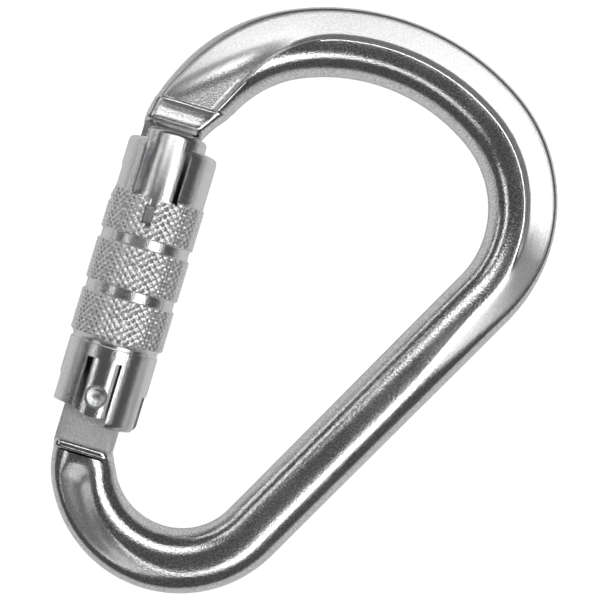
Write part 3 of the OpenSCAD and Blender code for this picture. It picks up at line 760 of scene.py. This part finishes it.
index = np.arange(shift).reshape(n_rows, n_cols)
next_col = np.roll(index, -1, 1)
end_walls = wall_strip(ends, index, next_col, padded[1:])
side_walls = wall_strip(sides, index[:-1], index[1:], ~metal)
sleeve_faces = [quads[metal][:, ::-1], quads[metal] + shift, end_walls, side_walls]
used = np.unique(np.concatenate([np.ravel(f) for f in sleeve_faces]))
renumber = np.zeros(2 * shift, int)
renumber[used] = np.arange(len(used))
knurl_satin = np.concatenate([np.ravel(in_band[:, None] + 0 * wall_r), np.zeros(shift)])
sleeve_points = np.concatenate([outside.reshape(-1, 3), inside.reshape(-1, 3)])[used]
make_piece("knurled_sleeve", sleeve_points, [renumber[f] for f in sleeve_faces], "sleeve",
           ["locking_sleeve"], sharp=30, satin=knurl_satin[used])

# %% [markdown]
# ## Key
# A small flat key sits in the sleeve's narrow keyway. It is a box whose edges are rounded by the
# superellipsoid formula: sines and cosines raised to a small power press a ball into a box.

# %% Key
LON_STEPS, LAT_STEPS = 48, 25
lo, hi = node_box("sleeve_key")
lat, lon = np.meshgrid(np.linspace(-np.pi / 2, np.pi / 2, LAT_STEPS),
                       np.linspace(0, 2 * np.pi, LON_STEPS, endpoint=False))


def pressed(v, power=0.16):
    """A signed power that flattens the middle of a wave and keeps its sign."""
    v = np.round(v, 9)  # a true zero at the poles, so that they close
    return np.sign(v) * np.abs(v) ** power


ball = np.stack([pressed(np.cos(lat)) * pressed(np.cos(lon)), pressed(np.cos(lat)) * pressed(np.sin(lon)),
                 pressed(np.sin(lat))], -1)
key_points = (lo + hi) / 2 + ball * (hi - lo) / 2
make_piece("key", key_points, [grid_faces(LON_STEPS, LAT_STEPS, wrap_rows=True)], "sleeve",
           ["sleeve_key"], sharp=60)

# %% [markdown]
# ## Finishes
# Bare aluminium has no colour of its own to speak of, so its character is in how rough it is and
# where. One node group does this for every metal here. It adds fine pits from tumbling, which also
# shade the metal as grain, long faint scratches, and slow changes of roughness where hands and
# ropes have polished or dulled it. Two pieces also carry a satin mask from their own shape, for the
# web, the scoop and the knurl: where it is high, the surface is rougher and its grain is calmer.
# The plastic bush uses the same group, in a material that isn't metallic.


# %% Metal group
def socket(group, name, kind, default=None, out=False):
    """Adds a named socket to a node group."""
    item = group.interface.new_socket(name, in_out="OUTPUT" if out else "INPUT", socket_type=kind)
    if default is not None:
        item.default_value = default


def metal_group():
    """Node group: colour, roughness and normal of a worked metal surface."""
    g = bpy.data.node_groups.new("worked metal", "ShaderNodeTree")
    socket(g, "Color", "NodeSocketColor", (0.8, 0.8, 0.8, 1))
    socket(g, "Roughness", "NodeSocketFloat", 0.15)
    socket(g, "Dull Roughness", "NodeSocketFloat", 0.3)
    socket(g, "Pit Size", "NodeSocketFloat", 1500.0)
    socket(g, "Pit Depth", "NodeSocketFloat", 0.2)
    socket(g, "Grain", "NodeSocketFloat", 0.25)
    socket(g, "Scratches", "NodeSocketFloat", 0.2)
    socket(g, "Satin", "NodeSocketFloat", 0.0)
    socket(g, "Satin Roughness", "NodeSocketFloat", 0.34)
    socket(g, "Color", "NodeSocketColor", out=True)
    socket(g, "Roughness", "NodeSocketFloat", out=True)
    socket(g, "Normal", "NodeSocketVector", out=True)
    n, link = g.nodes, g.links.new
    inp, out = n.new("NodeGroupInput"), n.new("NodeGroupOutput")
    where = n.new("ShaderNodeTexCoord")
    pits = n.new("ShaderNodeTexNoise")
    pits.inputs["Detail"].default_value = 3
    slow = n.new("ShaderNodeTexNoise")
    slow.inputs["Scale"].default_value = 90
    slow.inputs["Detail"].default_value = 4
    stretch = n.new("ShaderNodeMapping")
    stretch.inputs["Rotation"].default_value = (0.3, 0.2, 0.9)
    stretch.inputs["Scale"].default_value = (2600, 90, 600)
    lines = n.new("ShaderNodeTexNoise")
    lines.inputs["Scale"].default_value = 1
    lines.inputs["Detail"].default_value = 2
    link(where.outputs["Object"], pits.inputs["Vector"])
    link(where.outputs["Object"], slow.inputs["Vector"])
    link(where.outputs["Object"], stretch.inputs["Vector"])
    link(stretch.outputs["Vector"], lines.inputs["Vector"])
    link(inp.outputs["Pit Size"], pits.inputs["Scale"])
    ramp = n.new("ShaderNodeMapRange")
    ramp.inputs["From Min"].default_value = 0.4
    ramp.inputs["From Max"].default_value = 0.68
    link(slow.outputs["Fac"], ramp.inputs["Value"])
    rough = n.new("ShaderNodeMix")
    link(ramp.outputs["Result"], rough.inputs["Factor"])
    link(inp.outputs["Roughness"], rough.inputs["A"])
    link(inp.outputs["Dull Roughness"], rough.inputs["B"])
    satin = n.new("ShaderNodeMix")
    link(inp.outputs["Satin"], satin.inputs["Factor"])
    link(rough.outputs["Result"], satin.inputs["A"])
    link(inp.outputs["Satin Roughness"], satin.inputs["B"])
    tone = n.new("ShaderNodeMapRange")
    tone.inputs["From Min"].default_value = 0.36
    tone.inputs["From Max"].default_value = 0.64
    tone.inputs["To Max"].default_value = 1.1
    # Grain falls to a quarter where the surface is fully satin
    calm = n.new("ShaderNodeMath")
    calm.operation = "MULTIPLY_ADD"
    calm.inputs[1].default_value = -0.75
    calm.inputs[2].default_value = 1
    link(inp.outputs["Satin"], calm.inputs[0])
    grain = n.new("ShaderNodeMath")
    grain.operation = "MULTIPLY"
    link(inp.outputs["Grain"], grain.inputs[0])
    link(calm.outputs["Value"], grain.inputs[1])
    darkest = n.new("ShaderNodeMath")
    darkest.operation = "SUBTRACT"
    darkest.inputs[0].default_value = 1
    link(grain.outputs["Value"], darkest.inputs[1])
    link(darkest.outputs["Value"], tone.inputs["To Min"])
    link(pits.outputs["Fac"], tone.inputs["Value"])
    tint = n.new("ShaderNodeVectorMath")
    tint.operation = "SCALE"
    link(inp.outputs["Color"], tint.inputs[0])
    link(tone.outputs["Result"], tint.inputs["Scale"])
    scratch = n.new("ShaderNodeMath")
    scratch.operation = "MULTIPLY"
    link(lines.outputs["Fac"], scratch.inputs[0])
    link(inp.outputs["Scratches"], scratch.inputs[1])
    pit_height = n.new("ShaderNodeMath")
    pit_height.operation = "MULTIPLY_ADD"
    link(pits.outputs["Fac"], pit_height.inputs[0])
    link(inp.outputs["Pit Depth"], pit_height.inputs[1])
    link(scratch.outputs["Value"], pit_height.inputs[2])
    bump = n.new("ShaderNodeBump")
    bump.inputs["Distance"].default_value = 0.0001
    link(pit_height.outputs["Value"], bump.inputs["Height"])
    link(tint.outputs["Vector"], out.inputs["Color"])
    link(satin.outputs["Result"], out.inputs["Roughness"])
    link(bump.outputs["Normal"], out.inputs["Normal"])
    return g


WORKED = metal_group()


def metal_finish(name, color, roughness, dull, pit_size, pit_depth, scratches, metallic=1.0, masked=False,
                 grain=0.25):
    """A metal material that takes its surface from the worked metal group, satin where masked."""
    material = bpy.data.materials.new(name)
    material.use_nodes = True
    nodes, link = material.node_tree.nodes, material.node_tree.links.new
    shader = nodes["Principled BSDF"]
    shader.inputs["Metallic"].default_value = metallic
    surface = nodes.new("ShaderNodeGroup")
    surface.node_tree = WORKED
    values = {"Color": (*color, 1), "Roughness": roughness, "Dull Roughness": dull, "Pit Size": pit_size,
              "Pit Depth": pit_depth, "Scratches": scratches, "Grain": grain}
    for key, value in values.items():
        surface.inputs[key].default_value = value
    if masked:
        mask = nodes.new("ShaderNodeAttribute")
        mask.attribute_name = "satin"
        link(mask.outputs["Fac"], surface.inputs["Satin"])
    link(surface.outputs["Color"], shader.inputs["Base Color"])
    link(surface.outputs["Roughness"], shader.inputs["Roughness"])
    link(surface.outputs["Normal"], shader.inputs["Normal"])
    return material


POLISHED = metal_finish("polished bar", (0.9, 0.905, 0.91), 0.13, 0.2, 3400, 0.24, 0.1, masked=True,
                         grain=0.42)
SMOOTH_NOSE = metal_finish("polished nose", (0.9, 0.905, 0.91), 0.13, 0.2, 3400, 0.24, 0.1, grain=0.42)
BLASTED = metal_finish("blasted tongue", (0.78, 0.785, 0.79), 0.42, 0.5, 6500, 1.2, 0.1)
TUMBLED = metal_finish("tumbled gate", (0.87, 0.875, 0.88), 0.14, 0.22, 5200, 0.25, 0.15)
TURNED = metal_finish("turned sleeve", (0.93, 0.935, 0.94), 0.13, 0.2, 5200, 0.35, 0.15, masked=True)
BRIGHT_STEEL = metal_finish("bright steel", (0.72, 0.73, 0.74), 0.3, 0.38, 2500, 0.3, 0.2)
DULL_STEEL = metal_finish("dull steel", (0.42, 0.425, 0.43), 0.38, 0.5, 2600, 0.6, 0.3)
SPRING_WIRE = metal_finish("drawn wire", (0.5, 0.505, 0.52), 0.22, 0.3, 3000, 0.2, 0.6)
ACETAL = metal_finish("acetal", (0.84, 0.83, 0.78), 0.45, 0.52, 2500, 0.15, 0.1, metallic=0.0)
finish = {"forged_bar": POLISHED, "nose_hook": SMOOTH_NOSE, "hinge_tongue": BLASTED, "gate_barrel": TUMBLED,
          "knurled_sleeve": TURNED, "rivet": BRIGHT_STEEL, "plunger": BRIGHT_STEEL, "washer": BRIGHT_STEEL,
          "key": DULL_STEEL, "gate_coil": SPRING_WIRE, "sleeve_coil": SPRING_WIRE, "snap_ring": SPRING_WIRE,
          "bush": ACETAL}
for name, material in finish.items():
    bpy.data.objects[name].data.materials.append(material)
cad_finish = {"gate_body": TUMBLED, "frame": SMOOTH_NOSE, "locking_sleeve": TURNED, "guide_bush": ACETAL,
              "sleeve_key": DULL_STEEL, "gate_spring": SPRING_WIRE, "sleeve_spring": SPRING_WIRE}
for name, node in frame["nodes"].items():
    node.data.materials.clear()
    node.data.materials.append(cad_finish.get(name, BRIGHT_STEEL))

# %% [markdown]
# ## Studio
# Polished metal shows its surroundings, so the light is built for its reflection. Four soft panels
# lean a little from overhead, each placed for one stretch of the bar: the spine, the flat web, the
# crown and the narrow end. Two thin strips stand lower on the left, for second lines. The gaps
# between the panels give the dark bands that make metal read as metal.
# The floor and the sky are pale to the camera and dim to every other ray, because a pale room would
# fill those gaps.

# %% Floor
FLOOR_Z = -KNURL_R - 0.05


def paler_to_camera(tree, elsewhere, to_camera):
    """A strength with one value for the camera's own rays and another for all other rays."""
    path, strength = tree.nodes.new("ShaderNodeLightPath"), tree.nodes.new("ShaderNodeMix")
    strength.inputs["A"].default_value = elsewhere
    strength.inputs["B"].default_value = to_camera
    tree.links.new(path.outputs["Is Camera Ray"], strength.inputs["Factor"])
    return strength.outputs["Result"]


def plain_floor():
    """A pale plane under the object with a faint glow of its own."""
    size = 1500
    corners = [[x, y, FLOOR_Z] for x, y in ((-size, -size), (size, -size), (size, size), (-size, size))]
    mesh = bpy.data.meshes.new("floor")
    mesh.from_pydata(to_row(corners), [], [(0, 1, 2, 3)])
    floor = bpy.data.objects.new("floor", mesh)
    bpy.context.scene.collection.objects.link(floor)
    material = bpy.data.materials.new("pale floor")
    material.use_nodes = True
    tree = material.node_tree
    shader = tree.nodes["Principled BSDF"]
    shader.inputs["Base Color"].default_value = (0.9, 0.9, 0.9, 1)
    shader.inputs["Roughness"].default_value = 0.9
    shader.inputs["Emission Color"].default_value = (1, 1, 1, 1)
    tree.links.new(paler_to_camera(tree, 0.12, 0.8), shader.inputs["Emission Strength"])
    mesh.materials.append(material)


plain_floor()

# %% Soft panels
CENTRE = (30, 25, 0)
PANEL_DISTANCE = 640


def soft_panel(name, turn, tilt, size, brightness):
    """A soft light that faces the object, at a turn from the picture's right and a tilt from overhead."""
    data = bpy.data.lights.new(name, "AREA")
    data.shape = "RECTANGLE"
    data.size, data.size_y = size[0] * MM, size[1] * MM
    data.energy = brightness * np.pi * data.size * data.size_y
    light = bpy.data.objects.new(name, data)
    bpy.context.scene.collection.objects.link(light)
    turn, tilt = np.radians([turn, tilt])
    level = right * np.cos(turn) + up * np.sin(turn)
    away = level * np.sin(tilt) + Vector((0, 0, np.cos(tilt)))
    light.matrix_world = (Matrix.Translation(Vector(to_row(CENTRE)) + away * PANEL_DISTANCE * MM)
                          @ (-away).to_track_quat("-Z", "Y").to_matrix().to_4x4())
    print(f"{name}: {data.energy:.2f} W")


# Turn and tilt in degrees, width round the object and width outward in millimetres, brightness
soft_panel("spine softbox", -45, 31, (560, 230), 2.1)
soft_panel("web softbox", 15, 25, (320, 240), 1.7)
soft_panel("crown softbox", 85, 25, (520, 230), 1.6)
soft_panel("narrow end softbox", -115, 34, (340, 90), 1.4)
soft_panel("left strip", 163, 44, (520, 80), 1.6)
soft_panel("low strip", 140, 78, (700, 60), 1.6)

# %% Sky
world = bpy.data.worlds.new("studio")
bpy.context.scene.world = world
world.use_nodes = True
background = world.node_tree.nodes["Background"]
background.inputs["Color"].default_value = (1, 1, 1, 1)
world.node_tree.links.new(paler_to_camera(world.node_tree, 0.08, 0.95), background.inputs["Strength"])
bpy.context.scene.view_settings.view_transform = "Standard"
